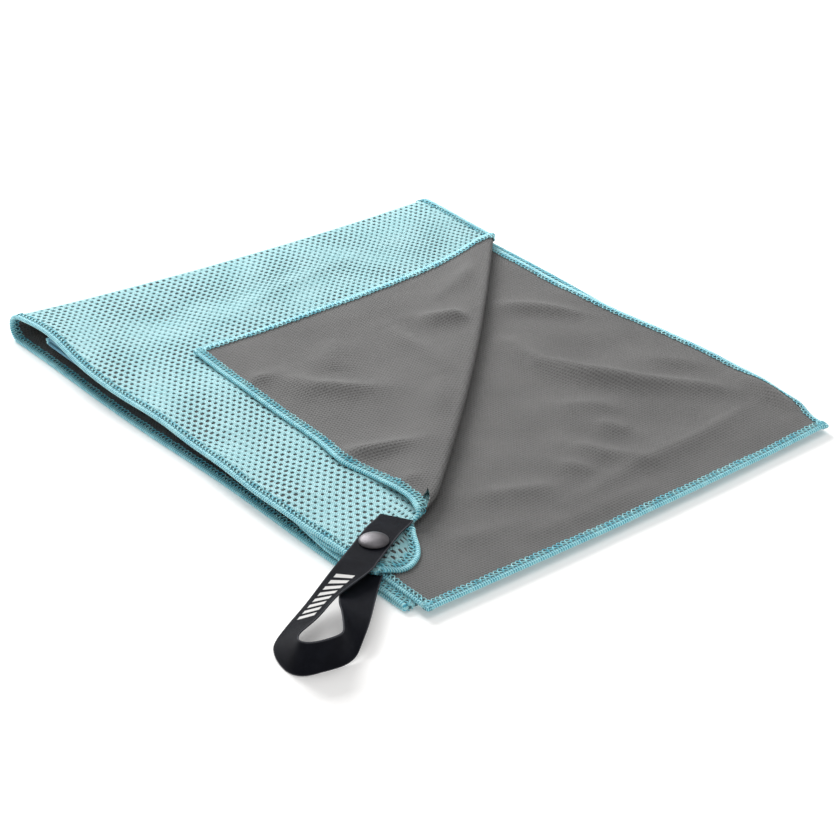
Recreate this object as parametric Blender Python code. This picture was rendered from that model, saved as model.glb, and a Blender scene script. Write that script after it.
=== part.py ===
"""Quick dry towel, folded in four layers with one corner turned back and a snap strap loop.

The towel is two cloths sewn back to back: an open mesh and a fine knit, edged all round.
It stands on the underside of its bottom panel. X runs from the outer fold to the free ends,
Y from the front side to the back side, and Z is up. Sizes are in metres.
"""

import math

import bmesh
import bpy
from mathutils import Matrix, Vector

# Cloth
TOWEL_WIDTH = 0.245
PACK_LENGTH = 0.317
MESH_THICKNESS = 0.0006
KNIT_THICKNESS = 0.0004
PLY_GAP = 0.0003
EDGING_WIDTH = 0.0055
SEAM_GAP = 0.0003

# Folds
LAYER_GAP = 0.0008
INNER_FOLD_SETBACK = 0.0205
UPPER_PANEL_OVERHANG = 0.006
BEND_STEPS = 8

# Turned-back corner, measured on the top panel
TOP_FRONT_LENGTH = 0.2883
TOP_END_SLANT = 0.0159
FLAP_BACK_RUN = 0.0686
FLAP_END_RUN = 0.0405
FLAP_BACK_EDGE = 0.197
FLAP_TAKE_UP = 0.0192

# Strap tape
TAPE_WIDTH = 0.015
TAPE_THICKNESS = 0.0006
TAPE_GAP = 0.0003
TAB_ANGLE = math.radians(-60)
TAB_TAIL = 0.025
TAB_REACH = 0.020
TAB_HINGE_GAP = 0.00045
LEG_ANGLE = math.radians(-50)
LEG_TAIL = 0.012
LEG_REACH = 0.020
LOOP_ANGLE = math.radians(-57.5)
LOOP_REACH = 0.068
LOOP_RADIUS = 0.0115
LOOP_ENTRY_ANGLE = math.radians(-65)
LOOP_FLOOR_GAP = 0.0003
LOOP_SIDE_STEPS = 16
LOOP_TURN_STEPS = 14

# Snap fastener
SNAP_FROM_FRONT = 0.012
SNAP_FROM_END = 0.0132
SNAP_GAP = 0.0003
CAP_RADIUS = 0.0065
CAP_HEIGHT = 0.0015
CAP_RIM = 0.0004
RIVET_RADIUS = 0.0015
RIVET_DEPTH = 0.0014
SOCKET_RADIUS = 0.005
SOCKET_HEIGHT = 0.0017
SOCKET_PLATE = 0.0004
SOCKET_LIP = 0.0005
SOCKET_STUD_GAP = 0.0004
SPRING_WIRE_RADIUS = 0.00022
STUD_FLANGE_RADIUS = 0.0042
STUD_FLANGE_THICKNESS = 0.0004
STUD_NECK_RADIUS = 0.0017
STUD_HEAD_RADIUS = 0.0022
STUD_WALL = 0.0004
POST_RADIUS = 0.0007
BACK_FLANGE_RADIUS = 0.0045
BACK_FLANGE_THICKNESS = 0.0004
ROUND_STEPS = 32

# Heights and places worked out from the sizes above
CLOTH = MESH_THICKNESS + PLY_GAP + KNIT_THICKNESS
HALF_WIDTH = TOWEL_WIDTH / 2
BOTTOM_Z = 0.0
LOWER_Z = BOTTOM_Z + CLOTH + LAYER_GAP
UPPER_Z = LOWER_Z + CLOTH + LAYER_GAP
BACK_FLANGE_Z = UPPER_Z + CLOTH + SNAP_GAP
LEG_Z = BACK_FLANGE_Z + BACK_FLANGE_THICKNESS + SNAP_GAP
TOP_Z = LEG_Z + TAPE_THICKNESS + TAPE_GAP
FLAP_Z = TOP_Z + CLOTH + LAYER_GAP
STUD_Z = TOP_Z + CLOTH + SNAP_GAP
SOCKET_Z = STUD_Z + STUD_FLANGE_THICKNESS + SOCKET_STUD_GAP
TAB_Z = SOCKET_Z + SOCKET_HEIGHT + SNAP_GAP
CAP_Z = TAB_Z + TAPE_THICKNESS + SNAP_GAP

OUTER_FOLD_RADIUS = (TOP_Z + CLOTH - BOTTOM_Z) / 2
SMALL_FOLD_RADIUS = CLOTH + LAYER_GAP / 2
OUTER_FOLD_X = -PACK_LENGTH / 2 + OUTER_FOLD_RADIUS
OUTER_FOLD_Z = BOTTOM_Z + OUTER_FOLD_RADIUS
INNER_FOLD_X = -PACK_LENGTH / 2 + INNER_FOLD_SETBACK + SMALL_FOLD_RADIUS
INNER_FOLD_Z = LOWER_Z + SMALL_FOLD_RADIUS
FIRST_FOLD_X = PACK_LENGTH / 2 - SMALL_FOLD_RADIUS
FIRST_FOLD_Z = BOTTOM_Z + SMALL_FOLD_RADIUS
UPPER_END_X = PACK_LENGTH / 2 + UPPER_PANEL_OVERHANG

TOP_CORNER = Vector((OUTER_FOLD_X + TOP_FRONT_LENGTH, -HALF_WIDTH))
FLAP_START = Vector((OUTER_FOLD_X + FLAP_BACK_RUN, HALF_WIDTH))
FLAP_END = TOP_CORNER + Vector((-TOP_END_SLANT, FLAP_END_RUN))
FLAP_END_EDGE = TOWEL_WIDTH - FLAP_END_RUN - FLAP_TAKE_UP
FLAP_BEND_Z = TOP_Z + SMALL_FOLD_RADIUS
SNAP = TOP_CORNER + Vector((-SNAP_FROM_END, SNAP_FROM_FRONT))


def clear_scene():
    """Remove every object the start-up file brought along."""
    for existing in list(bpy.data.objects):
        bpy.data.objects.remove(existing, do_unlink=True)


def make_material(name, colour, roughness, metallic=0.0):
    """A plain Principled material."""
    material = bpy.data.materials.new(name)
    material.use_nodes = True
    shader = material.node_tree.nodes["Principled BSDF"]
    shader.inputs["Base Color"].default_value = (*colour, 1.0)
    shader.inputs["Roughness"].default_value = roughness
    shader.inputs["Metallic"].default_value = metallic
    material.diffuse_color = (*colour, 1.0)
    return material


def make_pivot(name, location, angle=0.0):
    """An empty on a joint's axis, which carries the pieces that turn about it."""
    pivot = bpy.data.objects.new(name, None)
    pivot.location = location
    pivot.rotation_euler = (0.0, 0.0, angle)
    bpy.context.collection.objects.link(pivot)
    bpy.context.view_layer.update()
    return pivot


def add_object(name, shape, material, pivot=None, smooth=False):
    """Turn a finished bmesh into one named object, outward facing, hung on its pivot."""
    bmesh.ops.recalc_face_normals(shape, faces=shape.faces)
    mesh = bpy.data.meshes.new(name)
    shape.to_mesh(mesh)
    shape.free()
    mesh.materials.append(material)
    if smooth:
        mesh.shade_smooth()
        mesh.set_sharp_from_angle(angle=math.radians(40))
    piece = bpy.data.objects.new(name, mesh)
    bpy.context.collection.objects.link(piece)
    if pivot is not None:
        mesh.transform(pivot.matrix_world.inverted())
        piece.parent = pivot
    return piece


def extrude_outline(corners, direction, hole=()):
    """A closed prism: a flat outline, with an optional hole, pushed along a direction."""
    shape = bmesh.new()
    edges = []
    for ring in (corners, hole):
        points = [shape.verts.new(corner) for corner in ring]
        for start, end in zip(points, points[1:] + points[:1]):
            edges.append(shape.edges.new((start, end)))
    bmesh.ops.triangle_fill(shape, edges=edges, use_beauty=True)
    base = list(shape.faces)
    grown = bmesh.ops.extrude_face_region(shape, geom=base, use_keep_orig=True)
    moved = [item for item in grown["geom"] if isinstance(item, bmesh.types.BMVert)]
    bmesh.ops.translate(shape, verts=moved, vec=direction)
    return shape


def turned(profile, centre):
    """A round piece: closed (radius, height) corners turned about a vertical axis."""
    shape = bmesh.new()
    rings = []
    for step in range(ROUND_STEPS):
        angle = 2 * math.pi * step / ROUND_STEPS
        ring = []
        for radius, height in profile:
            ring.append(shape.verts.new((
                centre.x + radius * math.cos(angle),
                centre.y + radius * math.sin(angle),
                height,
            )))
        rings.append(ring)
    count = len(profile)
    for step, ring in enumerate(rings):
        following = rings[(step + 1) % ROUND_STEPS]
        for corner in range(count):
            after = (corner + 1) % count
            shape.faces.new((ring[corner], following[corner], following[after], ring[after]))
    bmesh.ops.remove_doubles(shape, verts=shape.verts, dist=1e-7)
    return shape


def circle(centre, radius, height):
    """Corners of a level circle."""
    corners = []
    for step in range(ROUND_STEPS):
        angle = 2 * math.pi * step / ROUND_STEPS
        corners.append(Vector((
            centre.x + radius * math.cos(angle),
            centre.y + radius * math.sin(angle),
            height,
        )))
    return corners


def offset_line(start, end, distance):
    """The line from start to end, moved to its left by a distance."""
    along = (end - start).normalized()
    left = Vector((-along.y, along.x))
    return start + left * distance, along


def meet(first, second):
    """The point where two level lines cross."""
    (start, along), (other, heading) = first, second
    turn = along.x * heading.y - along.y * heading.x
    gap = other - start
    return start + along * ((gap.x * heading.y - gap.y * heading.x) / turn)


def cell(lines):
    """The corners of the area that a ring of lines encloses."""
    return [meet(line, after) for line, after in zip(lines, lines[1:] + lines[:1])]


def raised(corners, height):
    """Level corners lifted to a height."""
    return [Vector((corner.x, corner.y, height)) for corner in corners]


def bend_outline(inner, outer, side):
    """Half a ring in the X-Z plane about the origin, open towards -side."""
    corners = []
    for radius, turn in ((outer, 1), (inner, -1)):
        for step in range(BEND_STEPS + 1):
            angle = turn * math.pi * (step / BEND_STEPS - 0.5)
            corners.append(Vector((side * radius * math.cos(angle), 0.0, radius * math.sin(angle))))
    return corners


def bend_piece(name, material, frame, inner, outer, side, start, end):
    """One bend of cloth or edging, from start to end along its frame's Y axis."""
    corners = [corner + Vector((0.0, start, 0.0)) for corner in bend_outline(inner, outer, side)]
    shape = extrude_outline(corners, Vector((0.0, end - start, 0.0)))
    shape.transform(frame)
    return add_object(name, shape, material)


def level_piece(name, material, lines, low, thickness, pivot=None, hole_radius=0.0):
    """One flat piece of cloth, edging or tape between a ring of lines."""
    hole = circle(SNAP, hole_radius, low) if hole_radius else ()
    shape = extrude_outline(raised(cell(lines), low), Vector((0.0, 0.0, thickness)), hole)
    return add_object(name, shape, material, pivot)


def ply_heights(low, mesh_up):
    """Start heights of the mesh and of the knit in a layer that starts at low."""
    if mesh_up:
        return low + KNIT_THICKNESS + PLY_GAP, low
    return low, low + MESH_THICKNESS + PLY_GAP


def straight_panel(name, start_x, end_x, low, mesh_up, end_edging=False):
    """A flat layer of the lower stack: its two cloths and the edging along its sides."""
    corners = [
        Vector((start_x, -HALF_WIDTH)),
        Vector((end_x, -HALF_WIDTH)),
        Vector((end_x, HALF_WIDTH)),
        Vector((start_x, HALF_WIDTH)),
    ]
    sides = list(zip(corners, corners[1:] + corners[:1]))
    front, end, back, start = sides
    seam = SEAM_GAP / 2
    inset = EDGING_WIDTH + SEAM_GAP
    end_inset = inset if end_edging else seam
    end_seam = 0.0 if end_edging else seam
    cloth = [
        offset_line(*front, inset),
        offset_line(*end, end_inset),
        offset_line(*back, inset),
        offset_line(*start, seam),
    ]
    mesh_low, knit_low = ply_heights(low, mesh_up)
    level_piece(name + "_mesh", TURQUOISE_MESH, cloth, mesh_low, MESH_THICKNESS)
    level_piece(name + "_knit", GREY_KNIT, cloth, knit_low, KNIT_THICKNESS)
    for label, side in (("front", front), ("back", back)):
        strip = [
            offset_line(*side, 0.0),
            offset_line(*end, end_seam),
            offset_line(*side, EDGING_WIDTH),
            offset_line(*start, seam),
        ]
        level_piece(f"{name}_{label}_edging", EDGING_THREAD, strip, low, CLOTH)
    if end_edging:
        strip = [
            offset_line(*end, 0.0),
            offset_line(*back, inset),
            offset_line(*end, EDGING_WIDTH),
            offset_line(*front, inset),
        ]
        level_piece(f"{name}_end_edging", EDGING_THREAD, strip, low, CLOTH)


def straight_fold(name, centre_x, centre_z, radius, side, mesh_outside):
    """A bend between two flat layers: its two cloths and the edging at both ends."""
    frame = Matrix.Translation((centre_x, 0.0, centre_z))
    inner = radius - CLOTH
    if mesh_outside:
        mesh_inner, knit_inner = radius - MESH_THICKNESS, inner
    else:
        mesh_inner, knit_inner = inner, radius - KNIT_THICKNESS
    reach = HALF_WIDTH - EDGING_WIDTH - SEAM_GAP
    edge = HALF_WIDTH - EDGING_WIDTH
    mesh_outer = mesh_inner + MESH_THICKNESS
    knit_outer = knit_inner + KNIT_THICKNESS
    bend_piece(name + "_mesh", TURQUOISE_MESH, frame, mesh_inner, mesh_outer, side, -reach, reach)
    bend_piece(name + "_knit", GREY_KNIT, frame, knit_inner, knit_outer, side, -reach, reach)
    bend_piece(name + "_front_edging", EDGING_THREAD, frame, inner, radius, side, -HALF_WIDTH, -edge)
    bend_piece(name + "_back_edging", EDGING_THREAD, frame, inner, radius, side, edge, HALF_WIDTH)


def build_lower_stack():
    """The three lower layers and the folds between them, then the fold up to the top panel."""
    straight_panel("bottom_panel", OUTER_FOLD_X, FIRST_FOLD_X, BOTTOM_Z, mesh_up=False)
    straight_fold("first_fold", FIRST_FOLD_X, FIRST_FOLD_Z, SMALL_FOLD_RADIUS, 1, mesh_outside=True)
    straight_panel("lower_panel", INNER_FOLD_X, FIRST_FOLD_X, LOWER_Z, mesh_up=True)
    straight_fold("inner_fold", INNER_FOLD_X, INNER_FOLD_Z, SMALL_FOLD_RADIUS, -1, mesh_outside=False)
    straight_panel("upper_panel", INNER_FOLD_X, UPPER_END_X, UPPER_Z, mesh_up=False, end_edging=True)
    straight_fold("outer_fold", OUTER_FOLD_X, OUTER_FOLD_Z, OUTER_FOLD_RADIUS, -1, mesh_outside=True)


def build_top_panel(pivot):
    """The top layer up to the diagonal bend: two cloths and the edging on its three free sides."""
    front_start = Vector((OUTER_FOLD_X, -HALF_WIDTH))
    back_start = Vector((OUTER_FOLD_X, HALF_WIDTH))
    front = (front_start, TOP_CORNER)
    end = (TOP_CORNER, FLAP_END)
    bend = (FLAP_END, FLAP_START)
    back = (FLAP_START, back_start)
    fold = (back_start, front_start)
    seam = SEAM_GAP / 2
    inset = EDGING_WIDTH + SEAM_GAP
    cloth = [
        offset_line(*front, inset),
        offset_line(*end, inset),
        offset_line(*bend, seam),
        offset_line(*back, inset),
        offset_line(*fold, seam),
    ]
    mesh_low, knit_low = ply_heights(TOP_Z, mesh_up=True)
    hole = POST_RADIUS + SNAP_GAP
    level_piece("top_panel_mesh", TURQUOISE_MESH, cloth, mesh_low, MESH_THICKNESS, pivot, hole)
    level_piece("top_panel_knit", GREY_KNIT, cloth, knit_low, KNIT_THICKNESS, pivot, hole)
    strips = {
        "front": (front, offset_line(*end, 0.0), offset_line(*fold, seam)),
        "end": (end, offset_line(*bend, seam), offset_line(*front, inset)),
        "back": (back, offset_line(*fold, seam), offset_line(*bend, seam)),
    }
    for label, (side, far_line, near_line) in strips.items():
        strip = [offset_line(*side, 0.0), far_line, offset_line(*side, EDGING_WIDTH), near_line]
        level_piece(f"top_panel_{label}_edging", EDGING_THREAD, strip, TOP_Z, CLOTH, pivot)


def flap_corner():
    """Where the turned-back corner lies: two edge lengths measured from the ends of its bend."""
    base = FLAP_END - FLAP_START
    length = base.length
    along = (length**2 + FLAP_BACK_EDGE**2 - FLAP_END_EDGE**2) / (2 * length)
    across = math.sqrt(FLAP_BACK_EDGE**2 - along**2)
    unit = base.normalized()
    return FLAP_START + unit * along + Vector((unit.y, -unit.x)) * across


def build_corner_flap(pivot):
    """The turned-back corner: its bend, its two cloths with the knit on top, and its edging."""
    corner = flap_corner()
    back = (FLAP_START, corner)
    end = (corner, FLAP_END)
    bend = (FLAP_END, FLAP_START)
    seam = SEAM_GAP / 2
    inset = EDGING_WIDTH + SEAM_GAP
    cloth = [offset_line(*back, inset), offset_line(*end, inset), offset_line(*bend, seam)]
    mesh_low, knit_low = ply_heights(FLAP_Z, mesh_up=False)
    level_piece("corner_flap_mesh", TURQUOISE_MESH, cloth, mesh_low, MESH_THICKNESS, pivot)
    level_piece("corner_flap_knit", GREY_KNIT, cloth, knit_low, KNIT_THICKNESS, pivot)
    back_strip = [
        offset_line(*back, 0.0),
        offset_line(*end, 0.0),
        offset_line(*back, EDGING_WIDTH),
        offset_line(*bend, seam),
    ]
    level_piece("corner_flap_back_edging", EDGING_THREAD, back_strip, FLAP_Z, CLOTH, pivot)
    end_strip = [
        offset_line(*end, 0.0),
        offset_line(*bend, seam),
        offset_line(*end, EDGING_WIDTH),
        offset_line(*back, inset),
    ]
    level_piece("corner_flap_end_edging", EDGING_THREAD, end_strip, FLAP_Z, CLOTH, pivot)


def build_flap_bend():
    """The diagonal bend that joins the top panel to the turned-back corner."""
    along = FLAP_START - FLAP_END
    frame = Matrix.Translation((FLAP_END.x, FLAP_END.y, FLAP_BEND_Z))
    frame = frame @ Matrix.Rotation(math.atan2(along.y, along.x) - math.pi / 2, 4, "Z")
    inner = SMALL_FOLD_RADIUS - CLOTH
    knit_inner = SMALL_FOLD_RADIUS - KNIT_THICKNESS
    mesh_outer = inner + MESH_THICKNESS
    start = EDGING_WIDTH
    end = along.length - EDGING_WIDTH
    bend_piece("flap_bend_mesh", TURQUOISE_MESH, frame, inner, mesh_outer, 1, start, end)
    bend_piece("flap_bend_knit", GREY_KNIT, frame, knit_inner, SMALL_FOLD_RADIUS, 1, start, end)


def heading(angle):
    """A level unit direction."""
    return Vector((math.cos(angle), math.sin(angle)))


def tape_lines(angle, tail, reach):
    """The outline of a straight piece of tape through the snap."""
    along = heading(angle)
    side = Vector((-along.y, along.x)) * (TAPE_WIDTH / 2)
    start = SNAP - along * tail
    end = SNAP + along * reach
    corners = [start - side, end - side, end + side, start + side]
    return [offset_line(a, b, 0.0) for a, b in zip(corners, corners[1:] + corners[:1])]


def build_strap_ends(tab_pivot, panel_pivot):
    """The free tab that carries the cap, and the sewn leg under the towel's corner."""
    tab = tape_lines(TAB_ANGLE, TAB_TAIL, TAB_REACH - TAB_HINGE_GAP)
    level_piece("strap_tab", SATIN_TAPE, tab, TAB_Z, TAPE_THICKNESS, tab_pivot, RIVET_RADIUS + SNAP_GAP)
    leg = tape_lines(LEG_ANGLE, LEG_TAIL, LEG_REACH - SEAM_GAP)
    level_piece("strap_leg", SATIN_TAPE, leg, LEG_Z, TAPE_THICKNESS, panel_pivot, POST_RADIUS + SNAP_GAP)


def smooth_step(amount):
    """Ease from 0 to 1 with level ends."""
    return amount * amount * (3 - 2 * amount)


def eased_curve(start, start_way, end, end_way, amount):
    """A point on a smooth curve that leaves and arrives along two given directions."""
    reach = (end - start).length
    square = amount * amount
    cube = square * amount
    point = start * (2 * cube - 3 * square + 1) + end * (3 * square - 2 * cube)
    return point + (start_way * (cube - 2 * square + amount) + end_way * (cube - square)) * reach


def loop_stations():
    """Centre points of the loop's tape, each with its height and how far the tape has rolled."""
    centre = SNAP + heading(LOOP_ANGLE) * LOOP_REACH
    first = SNAP + heading(TAB_ANGLE) * (TAB_REACH + TAB_HINGE_GAP)
    last = SNAP + heading(LEG_ANGLE) * LEG_REACH
    turn_start = LOOP_ENTRY_ANGLE - math.pi / 2
    turn_end = LEG_ANGLE + math.pi / 2
    stand_z = LOOP_FLOOR_GAP + TAPE_WIDTH / 2
    tab_z = TAB_Z + TAPE_THICKNESS / 2
    leg_z = LEG_Z + TAPE_THICKNESS / 2
    quarter = math.pi / 2
    stations = []
    for step in range(LOOP_SIDE_STEPS):
        amount = step / LOOP_SIDE_STEPS
        target = centre + heading(turn_start) * LOOP_RADIUS
        point = eased_curve(first, heading(TAB_ANGLE), target, heading(LOOP_ENTRY_ANGLE), amount)
        ease = smooth_step(amount)
        stations.append((point, tab_z + (stand_z - tab_z) * ease, quarter * ease))
    for step in range(LOOP_TURN_STEPS):
        angle = turn_start + (turn_end - turn_start) * step / LOOP_TURN_STEPS
        stations.append((centre + heading(angle) * LOOP_RADIUS, stand_z, quarter))
    for step in range(LOOP_SIDE_STEPS + 1):
        amount = step / LOOP_SIDE_STEPS
        source = centre + heading(turn_end) * LOOP_RADIUS
        back = heading(LEG_ANGLE + math.pi)
        point = eased_curve(source, back, last, back, amount)
        ease = smooth_step(amount)
        stations.append((point, stand_z + (leg_z - stand_z) * ease, quarter + quarter * ease))
    return stations


def build_strap_loop(pivot):
    """The hanging loop: the tape rolls onto its edge, turns round and rolls flat again."""
    stations = loop_stations()
    centres = [Vector((point.x, point.y, height)) for point, height, roll in stations]
    shape = bmesh.new()
    rings = []
    for index, (point, height, roll) in enumerate(stations):
        before = centres[max(index - 1, 0)]
        after = centres[min(index + 1, len(centres) - 1)]
        along = (after - before).normalized()
        left = Vector((-along.y, along.x, 0.0)).normalized()
        upward = along.cross(left)
        across = left * math.cos(roll) + upward * math.sin(roll)
        outward = along.cross(across)
        ring = []
        for wide, thick in ((-1, -1), (1, -1), (1, 1), (-1, 1)):
            edge = across * (wide * TAPE_WIDTH / 2) + outward * (thick * TAPE_THICKNESS / 2)
            ring.append(shape.verts.new(centres[index] + edge))
        rings.append(ring)
    for ring, following in zip(rings, rings[1:]):
        for corner in range(len(ring)):
            after = (corner + 1) % len(ring)
            shape.faces.new((ring[corner], ring[after], following[after], following[corner]))
    shape.faces.new(rings[0])
    shape.faces.new(rings[-1])
    bmesh.ops.triangulate(shape, faces=shape.faces)
    add_object("strap_loop", shape, SATIN_TAPE, pivot, smooth=True)


def build_snap(tab_pivot, panel_pivot):
    """The snap: cap, socket and spring on the tab, stud and its riveted back on the towel."""
    dome = [(RIVET_RADIUS, CAP_Z), (CAP_RADIUS - CAP_RIM, CAP_Z), (CAP_RADIUS, CAP_Z + CAP_RIM)]
    dome_steps = 6
    for step in range(1, dome_steps + 1):
        angle = math.pi / 2 * step / dome_steps
        rise = CAP_HEIGHT - CAP_RIM
        dome.append((CAP_RADIUS * math.cos(angle), CAP_Z + CAP_RIM + rise * math.sin(angle)))
    rivet_end = CAP_Z - TAPE_THICKNESS - 2 * SNAP_GAP - SOCKET_PLATE / 2
    dome.append((0.0, rivet_end))
    dome.append((RIVET_RADIUS, rivet_end))
    add_object("snap_cap", turned(dome, SNAP), GUNMETAL, tab_pivot, smooth=True)

    mouth = STUD_HEAD_RADIUS + SNAP_GAP + SPRING_WIRE_RADIUS / 2
    groove = mouth + 2 * SPRING_WIRE_RADIUS + SNAP_GAP
    socket_top = SOCKET_Z + SOCKET_HEIGHT
    socket = [
        (mouth, SOCKET_Z),
        (SOCKET_RADIUS, SOCKET_Z),
        (SOCKET_RADIUS, socket_top),
        (RIVET_RADIUS + SNAP_GAP, socket_top),
        (RIVET_RADIUS + SNAP_GAP, socket_top - SOCKET_PLATE),
        (groove, socket_top - SOCKET_PLATE),
        (groove, SOCKET_Z + SOCKET_LIP),
        (mouth, SOCKET_Z + SOCKET_LIP),
    ]
    add_object("snap_socket", turned(socket, SNAP), GUNMETAL, tab_pivot, smooth=True)

    wire_steps = 8
    wire_radius = mouth + SPRING_WIRE_RADIUS
    wire_z = (SOCKET_Z + SOCKET_LIP + socket_top - SOCKET_PLATE) / 2
    wire = []
    for step in range(wire_steps):
        angle = 2 * math.pi * step / wire_steps
        wire.append((
            wire_radius + SPRING_WIRE_RADIUS * math.cos(angle),
            wire_z + SPRING_WIRE_RADIUS * math.sin(angle),
        ))
    add_object("snap_spring", turned(wire, SNAP), SPRING_STEEL, tab_pivot, smooth=True)

    bore = POST_RADIUS + SNAP_GAP
    flange_top = STUD_Z + STUD_FLANGE_THICKNESS
    head_top = rivet_end - SNAP_GAP
    head_z = (flange_top + head_top) / 2
    stud = [
        (bore, STUD_Z),
        (STUD_FLANGE_RADIUS, STUD_Z),
        (STUD_FLANGE_RADIUS, flange_top),
        (STUD_NECK_RADIUS, flange_top),
        (STUD_HEAD_RADIUS, head_z),
        (STUD_HEAD_RADIUS, head_z + STUD_WALL),
        (STUD_NECK_RADIUS, head_top),
        (0.0, head_top),
        (0.0, head_top - STUD_WALL),
        (bore, head_top - STUD_WALL),
    ]
    add_object("snap_stud", turned(stud, SNAP), GUNMETAL, panel_pivot, smooth=True)

    post_top = head_top - STUD_WALL - SNAP_GAP
    back = [
        (0.0, BACK_FLANGE_Z),
        (BACK_FLANGE_RADIUS, BACK_FLANGE_Z),
        (BACK_FLANGE_RADIUS, BACK_FLANGE_Z + BACK_FLANGE_THICKNESS),
        (POST_RADIUS, BACK_FLANGE_Z + BACK_FLANGE_THICKNESS),
        (POST_RADIUS, post_top),
        (0.0, post_top),
    ]
    add_object("snap_stud_back", turned(back, SNAP), GUNMETAL, panel_pivot, smooth=True)


clear_scene()

TURQUOISE_MESH = make_material("turquoise_mesh", (0.42, 0.72, 0.76), 0.85)
GREY_KNIT = make_material("grey_knit", (0.18, 0.175, 0.17), 0.9)
EDGING_THREAD = make_material("edging_thread", (0.12, 0.62, 0.80), 0.65)
SATIN_TAPE = make_material("satin_tape", (0.012, 0.014, 0.024), 0.45)
GUNMETAL = make_material("gunmetal", (0.16, 0.145, 0.15), 0.32, 1.0)
SPRING_STEEL = make_material("spring_steel", (0.55, 0.55, 0.56), 0.3, 1.0)

# The top panel turns about a line beside the outer fold, so the unrolled bend keeps its length.
OUTER_BEND_MIDDLE = OUTER_FOLD_RADIUS - CLOTH / 2
TOP_HINGE_X = OUTER_FOLD_X - math.pi * OUTER_BEND_MIDDLE / 2
top_hinge = make_pivot("top_panel_hinge", (TOP_HINGE_X, 0.0, OUTER_FOLD_Z))

# The corner turns about a line along its bend, set outwards for the same reason.
FLAP_WAY = (FLAP_END - FLAP_START).normalized()
FLAP_OUTWARD = Vector((-FLAP_WAY.y, FLAP_WAY.x))
FLAP_BEND_MIDDLE = SMALL_FOLD_RADIUS - CLOTH / 2
FLAP_HINGE = (FLAP_START + FLAP_END) / 2 + FLAP_OUTWARD * (math.pi * FLAP_BEND_MIDDLE / 2)
flap_hinge = make_pivot(
    "corner_flap_hinge",
    (FLAP_HINGE.x, FLAP_HINGE.y, FLAP_BEND_Z),
    math.atan2(FLAP_WAY.y, FLAP_WAY.x),
)

# The tab bends up across the tape, where the tape leaves the towel.
TAB_HINGE = SNAP + heading(TAB_ANGLE) * TAB_REACH
tab_hinge = make_pivot(
    "strap_tab_hinge",
    (TAB_HINGE.x, TAB_HINGE.y, TAB_Z + TAPE_THICKNESS / 2),
    TAB_ANGLE,
)

build_lower_stack()
build_top_panel(top_hinge)
build_flap_bend()
build_corner_flap(flap_hinge)
build_strap_ends(tab_hinge, top_hinge)
build_strap_loop(top_hinge)
build_snap(tab_hinge, top_hinge)
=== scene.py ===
"""A quick dry towel, folded in four layers with its top corner turned back, and its snap strap."""

import math

import bmesh
import bpy
import numpy as np
from mathutils import Matrix, Vector


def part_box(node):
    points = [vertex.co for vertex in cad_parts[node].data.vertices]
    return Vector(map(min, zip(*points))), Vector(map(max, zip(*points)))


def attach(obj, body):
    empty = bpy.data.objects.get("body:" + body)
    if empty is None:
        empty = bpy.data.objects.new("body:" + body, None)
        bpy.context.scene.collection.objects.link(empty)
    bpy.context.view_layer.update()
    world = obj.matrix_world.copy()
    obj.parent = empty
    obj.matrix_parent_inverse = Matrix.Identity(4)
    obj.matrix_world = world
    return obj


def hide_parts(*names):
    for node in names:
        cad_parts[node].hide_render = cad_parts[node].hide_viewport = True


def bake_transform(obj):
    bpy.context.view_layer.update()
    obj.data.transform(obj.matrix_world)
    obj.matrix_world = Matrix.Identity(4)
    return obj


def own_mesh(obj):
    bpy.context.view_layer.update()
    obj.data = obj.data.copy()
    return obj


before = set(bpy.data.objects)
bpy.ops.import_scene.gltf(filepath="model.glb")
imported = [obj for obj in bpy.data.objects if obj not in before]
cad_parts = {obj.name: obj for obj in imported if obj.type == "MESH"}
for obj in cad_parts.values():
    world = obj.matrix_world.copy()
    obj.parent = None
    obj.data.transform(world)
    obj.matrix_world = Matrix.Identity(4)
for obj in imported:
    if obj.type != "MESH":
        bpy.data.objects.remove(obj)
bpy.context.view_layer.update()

# ---------------------------------------------------------------- Cloth of the three lower layers
# The towel is a polyester net and a fine grey knit laid back to back. Below its top layer the
# double cloth runs out to the first fold, back to the inner fold and out again to its end,
# where the knit lies open to the air in soft creases.
mm = 0.001
front_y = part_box("bottom_panel_front_edging")[0].y
back_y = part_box("bottom_panel_back_edging")[1].y
towel_width = back_y - front_y
outer_radius = 5.9 * mm
outer_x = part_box("outer_fold_mesh")[0].x
fold_start_x = outer_x + outer_radius
first_turn_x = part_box("first_fold_mesh")[1].x - 1.6 * mm
inner_turn_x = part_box("inner_fold_knit")[0].x + 1.9 * mm
upper_end_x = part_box("upper_panel_end_edging")[1].x
flap_back_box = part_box("corner_flap_back_edging")
flap_end_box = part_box("corner_flap_end_edging")
bend_start = Vector((flap_back_box[0].x, back_y))
bend_end = Vector((flap_end_box[1].x, flap_end_box[0].y))
bend_along = (bend_end - bend_start).normalized()
bend_out = Vector((-bend_along.y, bend_along.x))
bottom_z = 1.1 * mm
lower_level = 2.6 * mm
lower_slope = 0.0185
upper_level = 4.9 * mm
upper_slope = 0.0205
draw_in_reach = 90 * mm
ply_lift = 0.3 * mm
knit_thickness = 0.4 * mm


def eased(amount):
    """Rise smoothly from 0 to 1."""
    amount = np.clip(amount, 0, 1)
    return amount * amount * (3 - 2 * amount)


def fold_shift(y):
    """How far the outer fold draws in towards the back of the towel."""
    share = np.clip((y - front_y) / towel_width, 0, 1)
    return (2.5 + 36 * share - 22.5 * share * share) * mm


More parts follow.
